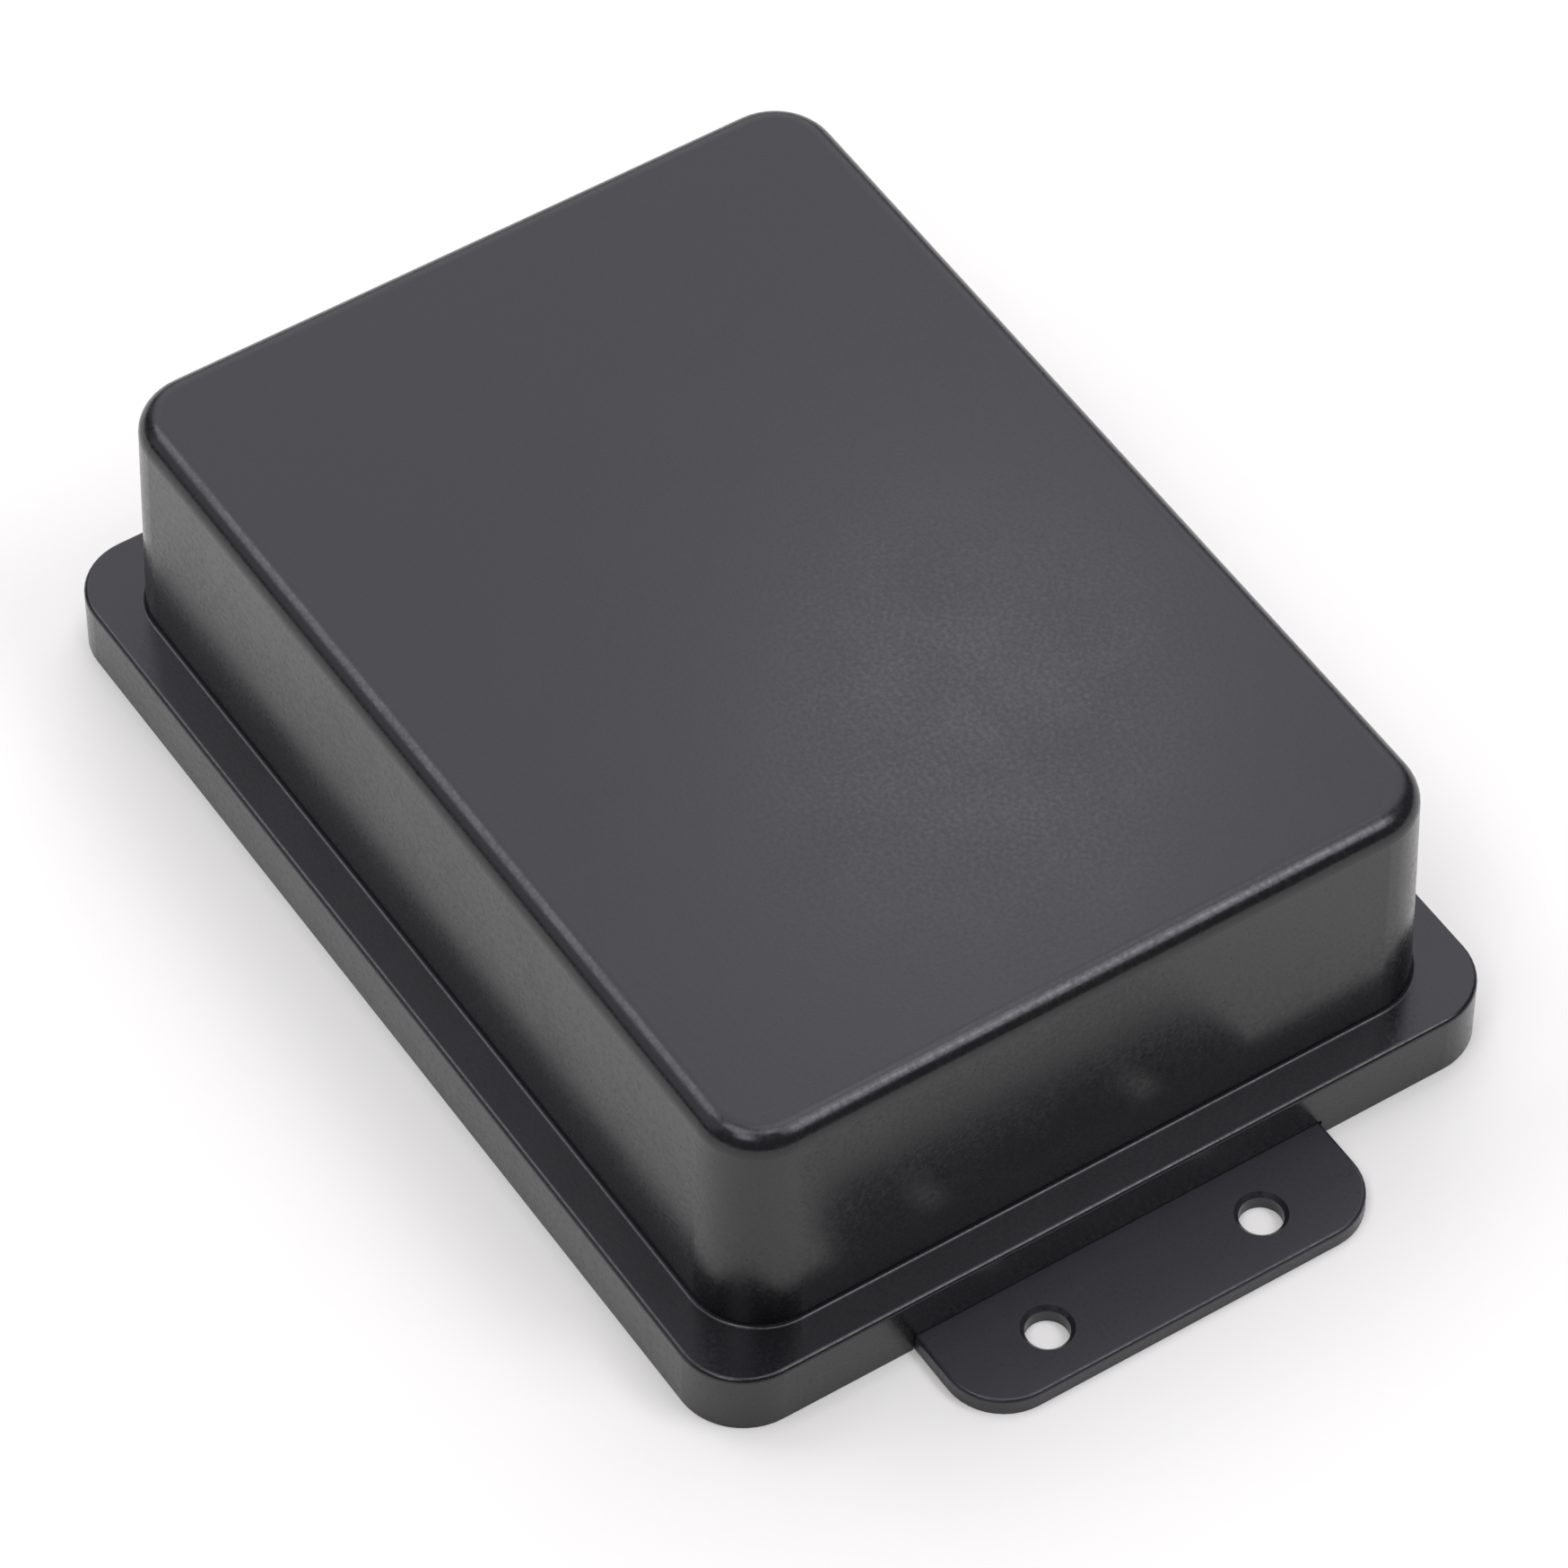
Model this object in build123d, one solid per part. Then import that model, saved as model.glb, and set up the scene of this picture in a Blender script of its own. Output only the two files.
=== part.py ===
from build123d import *
from math import copysign, isclose, radians, tan
import os

# Plastic project box: a moulded cover with a drafted dome, a ledge and a skirt, screwed from beneath
# to a base plate whose two end tabs take the mounting screws.
# Millimetres. X runs along the length, Y across the width, Z up. The origin is the middle of the underside.

# Driving sizes: outside of the cover
skirt_length = 125.0
skirt_width = 91.5
skirt_corner_radius = 7.0
skirt_edge_radius = 0.5
ledge_depth = 4.5
ledge_root_radius = 0.4
dome_corner_radius = 7.5
dome_edge_radius = 2.5
dome_draft = 1.5
box_height = 35.0

# Driving sizes: moulded sections
wall = 2.0
least_radius = 0.3
plate_thickness = 2.0
rim_thickness = 1.5
rim_height = 3.2

# Driving sizes: mounting tabs
tab_projection = 12.0
tab_width = 47.5
tab_corner_radius = 6.3
tab_edge_radius = 0.4
tab_hole_diameter = 4.5
tab_hole_spacing = 25.0
tab_hole_from_end = 6.0
tab_hole_rim_width = 0.45

# Driving sizes: screw bosses under the roof, each with a web to two walls
boss_radius = 3.5
boss_inset = 5.5
web_thickness = 1.2

# Driving sizes: board posts on the base plate
post_radius = 3.0
post_height = 5.0
post_gap = 3.0
post_pilot_diameter = 2.2

# Driving sizes: blunt countersunk screws that form their own thread, drawn at the root of the thread
screw_root_diameter = 2.2
screw_thread_diameter = 2.9
screw_length = 10.0
screw_head_diameter = 5.6
screw_recess_span = 3.0
screw_recess_width = 0.75
screw_recess_depth = 1.1

# Clearances
plate_clearance = 0.2
tab_clearance = 0.15
rim_clearance = 0.3
pilot_clearance = 0.1
pilot_tip_room = 2.0
screw_hole_clearance = 0.15
screw_head_clearance = 0.1
screw_head_sink = 0.2

# Levels, from the underside up
rim_top = plate_thickness + rim_height
ledge_underside = rim_top + rim_clearance
skirt_height = ledge_underside + wall
roof_underside = box_height - wall

# Outlines in plan
dome_length = skirt_length - 2 * ledge_depth
dome_width = skirt_width - 2 * ledge_depth
plate_inset = wall + plate_clearance
tab_end = skirt_length / 2 + tab_projection
screw_hole_radius = screw_thread_diameter / 2 + screw_hole_clearance

# Places of the screws, of the board posts beside them and of the mounting holes
boss_x = dome_length / 2 - wall - boss_inset
boss_y = dome_width / 2 - wall - boss_inset
post_x = boss_x - boss_radius - post_gap - post_radius
screw_places = [(x, y) for x in (-boss_x, boss_x) for y in (-boss_y, boss_y)]
post_places = [(x, y) for x in (-post_x, post_x) for y in (-boss_y, boss_y)]
tab_hole_x = tab_end - tab_hole_from_end
tab_hole_y = tab_hole_spacing / 2
tab_hole_places = [(x, y) for x in (-tab_hole_x, tab_hole_x) for y in (-tab_hole_y, tab_hole_y)]

upright = (Align.CENTER, Align.CENTER, Align.MIN)
same_size = 0.001


def run_in(rise, draft):
    """How far a drafted wall leans in over a rise."""
    return rise * tan(radians(draft))


def rounded_block(length, width, corner_radius, bottom, top, draft=0.0):
    """Block with rounded upright corners between two levels, leaning in by its draft."""
    radius = max(corner_radius, run_in(top - bottom, draft) + least_radius)
    outline = Plane.XY.offset(bottom) * RectangleRounded(length, width, radius)
    return extrude(outline, amount=top - bottom, taper=draft)


def skirt_inset_block(inset, bottom, top):
    """Upright block whose outline lies inside the skirt's by a constant inset."""
    length = skirt_length - 2 * inset
    width = skirt_width - 2 * inset
    return rounded_block(length, width, skirt_corner_radius - inset, bottom, top)


def round_top(solid, radius):
    """Rounds the edges of the highest flat face."""
    return fillet(solid.faces().sort_by(Axis.Z)[-1].edges(), radius)


def hole_rims(solid, radius, level):
    """Full circles of one size at one level."""
    return [edge for edge in solid.edges().filter_by(GeomType.CIRCLE)
            if isclose(edge.radius, radius, abs_tol=same_size)
            and isclose(edge.center().Z, level, abs_tol=same_size)]


def upright_rod(place, radius, bottom, top):
    """Round rod standing at a place between two levels."""
    return Pos(*place, bottom) * Cylinder(radius, top - bottom, align=upright)


def cover_outside():
    """Skirt and dome as one solid form, with a small hollow rounding where the dome stands on the ledge."""
    skirt = rounded_block(skirt_length, skirt_width, skirt_corner_radius, 0, skirt_height)
    dome = rounded_block(dome_length, dome_width, dome_corner_radius, skirt_height, box_height, dome_draft)
    outside = round_top(skirt, skirt_edge_radius) + round_top(dome, dome_edge_radius)
    level_faces = outside.faces().filter_by(Axis.Z)
    ledge = min(level_faces, key=lambda face: abs(face.center().Z - skirt_height))
    return fillet(ledge.inner_wires()[0].edges(), ledge_root_radius)


def boss_with_webs(place):
    """Screw boss from the base plate to the roof, tied to the end wall and the side wall by webs."""
    x, y = place
    reach = boss_inset + wall
    web_height = box_height - skirt_height
    end_web = Box(reach, web_thickness, web_height, align=upright)
    side_web = Box(web_thickness, reach, web_height, align=upright)
    boss = upright_rod(place, boss_radius, plate_thickness, box_height)
    boss += Pos(x + copysign(reach / 2, x), y, skirt_height) * end_web
    boss += Pos(x, y + copysign(reach / 2, y), skirt_height) * side_web
    return boss


def cover_hollow():
    """Space inside the cover: drafted under the dome, upright in the skirt, less the bosses."""
    lean = run_in(wall, dome_draft)
    inner_length = dome_length - 2 * wall + 2 * lean
    inner_width = dome_width - 2 * wall + 2 * lean
    inner_radius = dome_corner_radius - wall + lean
    hollow = rounded_block(
        inner_length, inner_width, inner_radius, ledge_underside, roof_underside, dome_draft)
    hollow += skirt_inset_block(wall, 0, ledge_underside)
    for place in screw_places:
        hollow -= boss_with_webs(place)
    return hollow


def head_seat():
    """Right-angled cone for a screw head and its clearance, open at the underside."""
    mouth = screw_head_diameter / 2 + screw_head_sink + screw_head_clearance
    return Cone(mouth, least_radius, mouth - least_radius, align=upright)


def make_cover():
    """Hollow cover with a notch for each tab and a pilot hole in each boss."""
    cover = cover_outside() - cover_hollow()
    notch = Box(2 * wall, tab_width + 2 * tab_clearance, plate_thickness + tab_clearance, align=upright)
    for end in (-1, 1):
        cover -= Pos(end * (skirt_length - wall) / 2, 0, 0) * notch
    pilot_radius = screw_root_diameter / 2 + pilot_clearance
    pilot_end = screw_head_sink + screw_length + pilot_tip_room
    for place in screw_places:
        cover -= upright_rod(place, pilot_radius, plate_thickness, pilot_end)
    return cover


def make_base_plate():
    """Plate with a locating rim, hollow board posts, screw head seats and a drilled tab at each end."""
    plate = skirt_inset_block(plate_inset, 0, plate_thickness)
    strip = rounded_block(2 * tab_end, tab_width, tab_corner_radius, 0, plate_thickness)
    plate += round_top(strip, tab_edge_radius)
    plate += skirt_inset_block(plate_inset, plate_thickness, rim_top)
    plate -= skirt_inset_block(plate_inset + rim_thickness, plate_thickness, rim_top)
    post_top = plate_thickness + post_height
    for place in post_places:
        plate += upright_rod(place, post_radius, plate_thickness, post_top)
    for place in tab_hole_places:
        plate -= upright_rod(place, tab_hole_diameter / 2, 0, plate_thickness)
    plate = chamfer(hole_rims(plate, tab_hole_diameter / 2, plate_thickness), tab_hole_rim_width)
    for place in post_places:
        plate -= upright_rod(place, post_pilot_diameter / 2, plate_thickness, post_top)
    for place in screw_places:
        plate -= upright_rod(place, screw_hole_radius, 0, plate_thickness)
        plate -= Pos(*place, 0) * head_seat()
    return plate


def make_screw(place):
    """Countersunk screw, head down, with a cross recess."""
    head_radius = screw_head_diameter / 2
    root_radius = screw_root_diameter / 2
    profile = Polyline(
        (0, 0),
        (head_radius, 0),
        (root_radius, head_radius - root_radius),
        (root_radius, screw_length),
        (0, screw_length),
        close=True,
    )
    screw = revolve(Plane.XZ * make_face(profile), Axis.Z)
    slot = Rectangle(screw_recess_span, screw_recess_width)
    cross = slot + Rot(0, 0, 90) * slot
    screw -= extrude(cross, amount=screw_recess_depth)
    return Pos(*place, screw_head_sink) * screw


os.makedirs("parts", exist_ok=True)
export_step(make_cover(), "parts/cover.step")
export_step(make_base_plate(), "parts/base_plate.step")
export_step(Compound([make_screw(place) for place in screw_places]), "parts/cover_screws.step")
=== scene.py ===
# Looks of the plastic project box: satin ABS, zinc-plated screws, a white table and a soft studio light.
# Metres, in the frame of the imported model: X along the length, Y across the width, Z up from the table.

import math

import bmesh
import bpy
from mathutils import Matrix, Vector

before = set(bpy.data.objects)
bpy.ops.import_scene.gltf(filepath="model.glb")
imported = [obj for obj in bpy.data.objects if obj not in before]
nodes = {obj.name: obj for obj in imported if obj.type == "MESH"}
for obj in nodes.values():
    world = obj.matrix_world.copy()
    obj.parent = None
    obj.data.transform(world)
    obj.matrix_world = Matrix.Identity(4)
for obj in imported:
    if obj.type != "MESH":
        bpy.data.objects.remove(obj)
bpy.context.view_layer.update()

MM = 0.001

# Camera, fitted to the straight edges of the photograph. Its angles are in degrees
PHOTO_SIDE_PIXELS = 1748
FOCAL_PIXELS = 9149.0
SENSOR_WIDTH_MM = 36.0
CAMERA_AZIMUTH = 56.76
CAMERA_ELEVATION = 49.99
CAMERA_ROLL = 0.20
CAMERA_DISTANCE = 827.2 * MM
CAMERA_RIGHT = 1.72 * MM
CAMERA_UP = 3.99 * MM

# Moulded ABS: colours, and the roughness of the grain from its hollows to its peaks.
# The plate comes from a plainer mould, so it is a little more matte. Its colour is slightly bluer than the
# cover's,
# and is painted paler too: the paleness is painted light that brightens the tabs
COVER_BLACK = "#1a1a1c"
COVER_ROUGHNESS = (0.09, 0.25)
PLATE_BLACK_PAINTED_PALER = "#25252a"
PLATE_ROUGHNESS = (0.17, 0.35)
ABS_IOR = 1.5

# Moulded grain, drawn two to three times as coarse as a fine spark-eroded mould so that it shows.
# Most of its noise lies between the levels of its hollows and its peaks
GRAIN_SIZE_MM = 0.5
GRAIN_HEIGHT_MM = 0.006
GRAIN_DETAIL = 3.0
GRAIN_FINENESS = 0.55
GRAIN_HOLLOW = 0.3
GRAIN_PEAK = 0.7

# Faint uneven sheen from handling: the size of its patches, and the most that it adds to the roughness
SHEEN_PATCH_MM = 9.0
SHEEN_DETAIL = 2.0
SHEEN_SPREAD = 0.14

# Bright zinc plate. Its mottle is finer than this on a real screw, and is drawn coarser so that it shows
ZINC_PALE = "#c9ccd0"
ZINC_ROUGHNESS = (0.24, 0.4)
ZINC_MOTTLE_MM = 0.8
ZINC_MOTTLE_DETAIL = 2.0

# White table, just below the box. The glow that whitens it grows between two distances from the origin
TABLE_RADIUS = 3.0
TABLE_SEGMENTS = 64
TABLE_DROP = 0.05 * MM
TABLE_WHITE = "#f1f0e8"
GLOW_WHITE = "#ffffff"
GLOW_NEAR = 0.08
GLOW_FAR = 0.9
GLOW_STARTS = 0.3
GLOW_FULL = 1.6

# Room: slightly blue daylight (linear RGBA), and a broad window that fades from its core to its edge.
# Core and edge are cosines of the angle from the window's middle
DAYLIGHT = (0.98, 0.97, 1.06, 1.0)
WINDOW_DIRECTION = (-0.62, 0.40, 0.68)
WINDOW_EDGE = 0.7
WINDOW_CORE = 0.95
WINDOW_LIGHT = 1.45
ROOM_LIGHT = 0.1

# Softboxes at one distance from the origin: direction, side and brightness
SOFTBOX_DISTANCE = 1.1
SOFTBOXES = {
    "overhead_softbox": ((0.00, 0.22, 0.975), 0.50, 1.5),
    "right_softbox": ((0.33, 0.36, 0.87), 0.36, 3.4),
    "right_fill": ((0.53, 0.36, 0.77), 0.40, 3.5),
    "corner_softbox": ((0.24, 0.02, 0.97), 0.26, 3.4),
    "front_softbox": ((0.00, -0.33, 0.945), 0.45, 3.4),
    "near_softbox": ((0.32, -0.50, 0.80), 0.34, 3.8),
    "left_softbox": ((-0.55, -0.30, 0.78), 0.46, 2.8),
    "left_fill": ((-0.42, -0.73, 0.545), 0.75, 0.6),
}

# Small lamp closer to the box, which the top of the cover mirrors as a soft bright patch
LAMP_DIRECTION = (-0.420, 0.376, 0.826)
LAMP_DISTANCE = 0.32
LAMP_SIDE = 0.05
LAMP_BRIGHTNESS = 1.4


def linear(hex_colour):
    """Linear RGBA of an sRGB hex colour."""
    channels = [int(hex_colour[i:i + 2], 16) / 255 for i in (1, 3, 5)]
    return [c / 12.92 if c <= 0.04045 else ((c + 0.055) / 1.055) ** 2.4 for c in channels] + [1.0]


def add_node(tree, kind, sockets=None, **settings):
    """Adds a node with its settings. A socket, by name or number, takes another node's output or a value."""
    node = tree.nodes.new(kind)
    for name, value in settings.items():
        setattr(node, name, value)
    for socket, value in (sockets or {}).items():
        if isinstance(value, bpy.types.NodeSocket):
            tree.links.new(value, node.inputs[socket])
        else:
            node.inputs[socket].default_value = value
    return node


def new_material(name):
    """Material with an empty node tree."""
    material = bpy.data.materials.new(name)
    material.use_nodes = True
    material.node_tree.nodes.clear()
    return material, material.node_tree


def moulded_abs(name, colour, roughness):
    """ABS from a finely spark-eroded mould: satin near-black, with a pebbled grain and an uneven sheen."""
    material, tree = new_material(name)
    smoothest, roughest = roughness
    place = add_node(tree, "ShaderNodeTexCoord")
    grain = add_node(tree, "ShaderNodeTexNoise", {
        "Vector": place.outputs["Object"],
        "Scale": 1 / (GRAIN_SIZE_MM * MM),
        "Detail": GRAIN_DETAIL,
        "Roughness": GRAIN_FINENESS,
    })
    grain_gloss = add_node(tree, "ShaderNodeMapRange", {
        "Value": grain.outputs["Fac"],
        "From Min": GRAIN_HOLLOW,
        "From Max": GRAIN_PEAK,
        "To Min": smoothest,
        "To Max": roughest,
    })
    sheen = add_node(tree, "ShaderNodeTexNoise", {
        "Vector": place.outputs["Object"],
        "Scale": 1 / (SHEEN_PATCH_MM * MM),
        "Detail": SHEEN_DETAIL,
    })
    gloss = add_node(tree, "ShaderNodeMath", {
        0: sheen.outputs["Fac"],
        1: SHEEN_SPREAD,
        2: grain_gloss.outputs["Result"],
    }, operation="MULTIPLY_ADD")
    bump = add_node(tree, "ShaderNodeBump", {
        "Height": grain.outputs["Fac"],
        "Distance": GRAIN_HEIGHT_MM * MM,
        "Strength": 1.0,
    })
    plastic = add_node(tree, "ShaderNodeBsdfPrincipled", {
        "Base Color": linear(colour),
        "IOR": ABS_IOR,
        "Roughness": gloss.outputs["Value"],
        "Normal": bump.outputs["Normal"],
    })
    add_node(tree, "ShaderNodeOutputMaterial", {"Surface": plastic.outputs["BSDF"]})
    return material


def zinc_steel():
    """Cold-headed steel with a bright zinc plate: pale, slightly blue, softly glossy."""
    material, tree = new_material("zinc_plated_steel")
    smoothest, roughest = ZINC_ROUGHNESS
    place = add_node(tree, "ShaderNodeTexCoord")
    mottle = add_node(tree, "ShaderNodeTexNoise", {
        "Vector": place.outputs["Object"],
        "Scale": 1 / (ZINC_MOTTLE_MM * MM),
        "Detail": ZINC_MOTTLE_DETAIL,
    })
    gloss = add_node(tree, "ShaderNodeMapRange", {
        "Value": mottle.outputs["Fac"],
        "To Min": smoothest,
        "To Max": roughest,
    })
    metal = add_node(tree, "ShaderNodeBsdfPrincipled", {
        "Base Color": linear(ZINC_PALE),
        "Metallic": 1.0,
        "Roughness": gloss.outputs["Result"],
    })
    add_node(tree, "ShaderNodeOutputMaterial", {"Surface": metal.outputs["BSDF"]})
    return material


def white_table():
    """Matte white board that keeps the shadow. Where it is seen it also glows, most far from the lamps."""
    material, tree = new_material("matte_white_board")
    paint = add_node(tree, "ShaderNodeBsdfDiffuse", {"Color": linear(TABLE_WHITE)})
    ray = add_node(tree, "ShaderNodeLightPath")
    seen_or_mirrored = add_node(tree, "ShaderNodeMath", {
        0: ray.outputs["Is Camera Ray"],
        1: ray.outputs["Is Glossy Ray"],
    }, operation="MAXIMUM")
    seen = add_node(tree, "ShaderNodeMath", {
        0: seen_or_mirrored.outputs["Value"],
        1: ray.outputs["Is Transmission Ray"],
    }, operation="MAXIMUM")
    place = add_node(tree, "ShaderNodeTexCoord")
    away = add_node(tree, "ShaderNodeVectorMath", {0: place.outputs["Object"]}, operation="LENGTH")
    level = add_node(tree, "ShaderNodeMapRange", {
        "Value": away.outputs["Value"],
        "From Min": GLOW_STARTS,
        "From Max": GLOW_FULL,
        "To Min": GLOW_NEAR,
        "To Max": GLOW_FAR,
    })
    strength = add_node(tree, "ShaderNodeMath", {
        0: seen.outputs["Value"],
        1: level.outputs["Result"],
    }, operation="MULTIPLY")
    glow = add_node(tree, "ShaderNodeEmission", {
        "Color": linear(GLOW_WHITE),
        "Strength": strength.outputs["Value"],
    })
    board = add_node(tree, "ShaderNodeAddShader", {0: paint.outputs["BSDF"], 1: glow.outputs["Emission"]})
    add_node(tree, "ShaderNodeOutputMaterial", {"Surface": board.outputs["Shader"]})
    return material


def wear(name, material):
    """Gives a CAD node its one material."""
    mesh = nodes[name].data
    mesh.materials.clear()
    mesh.materials.append(material)


def make_table():
    """Round table top under the box, broad enough to fill low views."""
    mesh = bpy.data.meshes.new("table")
    shape = bmesh.new()
    bmesh.ops.create_circle(shape, cap_ends=True, segments=TABLE_SEGMENTS, radius=TABLE_RADIUS)
    bmesh.ops.translate(shape, verts=shape.verts, vec=(0, 0, -TABLE_DROP))
    shape.to_mesh(mesh)
    shape.free()
    mesh.materials.append(white_table())
    table = bpy.data.objects.new("table", mesh)
    bpy.context.scene.collection.objects.link(table)


def make_softbox(name, direction, distance, side, brightness):
    """Square lamp facing the box, whose power goes with its area. The camera doesn't see it."""
    lamp = bpy.data.lights.new(name, "AREA")
    lamp.shape = "SQUARE"
    lamp.size = side
    lamp.energy = brightness * math.pi * side ** 2
    lamp.color = DAYLIGHT[:3]
    softbox = bpy.data.objects.new(name, lamp)
    way = Vector(direction).normalized()
    turn = way.to_track_quat("Z", "Y").to_matrix().to_4x4()
    softbox.matrix_world = Matrix.Translation(way * distance) @ turn
    softbox.visible_camera = False
    bpy.context.scene.collection.objects.link(softbox)


def make_room():
    """Studio that the plastic mirrors: a broad diffuse window behind and above the box, dim elsewhere."""
    world = bpy.data.worlds.new("studio")
    bpy.context.scene.world = world
    world.use_nodes = True
    tree = world.node_tree
    tree.nodes.clear()
    place = add_node(tree, "ShaderNodeTexCoord")
    facing = add_node(tree, "ShaderNodeVectorMath", {
        0: place.outputs["Generated"],
        1: Vector(WINDOW_DIRECTION).normalized(),
    }, operation="DOT_PRODUCT")
    window = add_node(tree, "ShaderNodeMapRange", {
        "Value": facing.outputs["Value"],
        "From Min": WINDOW_EDGE,
        "From Max": WINDOW_CORE,
        "To Min": ROOM_LIGHT,
        "To Max": WINDOW_LIGHT,
    }, interpolation_type="SMOOTHSTEP")
    light = add_node(tree, "ShaderNodeBackground", {
        "Color": DAYLIGHT,
        "Strength": window.outputs["Result"],
    })
    add_node(tree, "ShaderNodeOutputWorld", {"Surface": light.outputs["Background"]})


def make_camera():
    """Long lens looking down on the box from its near corner, turned about its axis by the fitted roll."""
    azimuth = math.radians(CAMERA_AZIMUTH)
    elevation = math.radians(CAMERA_ELEVATION)
    reach = math.cos(elevation)
    back = Vector((math.sin(azimuth) * reach, -math.cos(azimuth) * reach, math.sin(elevation)))
    level_right = Vector((math.cos(azimuth), math.sin(azimuth), 0))
    right = Matrix.Rotation(math.radians(CAMERA_ROLL), 3, back) @ level_right
    up = back.cross(right)
    optics = bpy.data.cameras.new("photo_camera")
    optics.sensor_width = SENSOR_WIDTH_MM
    optics.lens = FOCAL_PIXELS * SENSOR_WIDTH_MM / PHOTO_SIDE_PIXELS
    camera = bpy.data.objects.new("photo_camera", optics)
    place = back * CAMERA_DISTANCE + right * CAMERA_RIGHT + up * CAMERA_UP
    camera.matrix_world = Matrix.Translation(place) @ Matrix((right, up, back)).transposed().to_4x4()
    bpy.context.scene.collection.objects.link(camera)
    bpy.context.scene.camera = camera


wear("cover", moulded_abs("abs_moulded_satin_black", COVER_BLACK, COVER_ROUGHNESS))
# The plate's paler colour is painted light, which brightens its tabs
wear("base_plate", moulded_abs("abs_moulded_matte_black", PLATE_BLACK_PAINTED_PALER, PLATE_ROUGHNESS))
wear("cover_screws", zinc_steel())
make_table()
for name, (direction, side, brightness) in SOFTBOXES.items():
    make_softbox(name, direction, SOFTBOX_DISTANCE, side, brightness)
make_softbox("small_lamp", LAMP_DIRECTION, LAMP_DISTANCE, LAMP_SIDE, LAMP_BRIGHTNESS)
make_room()
make_camera()
bpy.context.scene.view_settings.view_transform = "Standard"
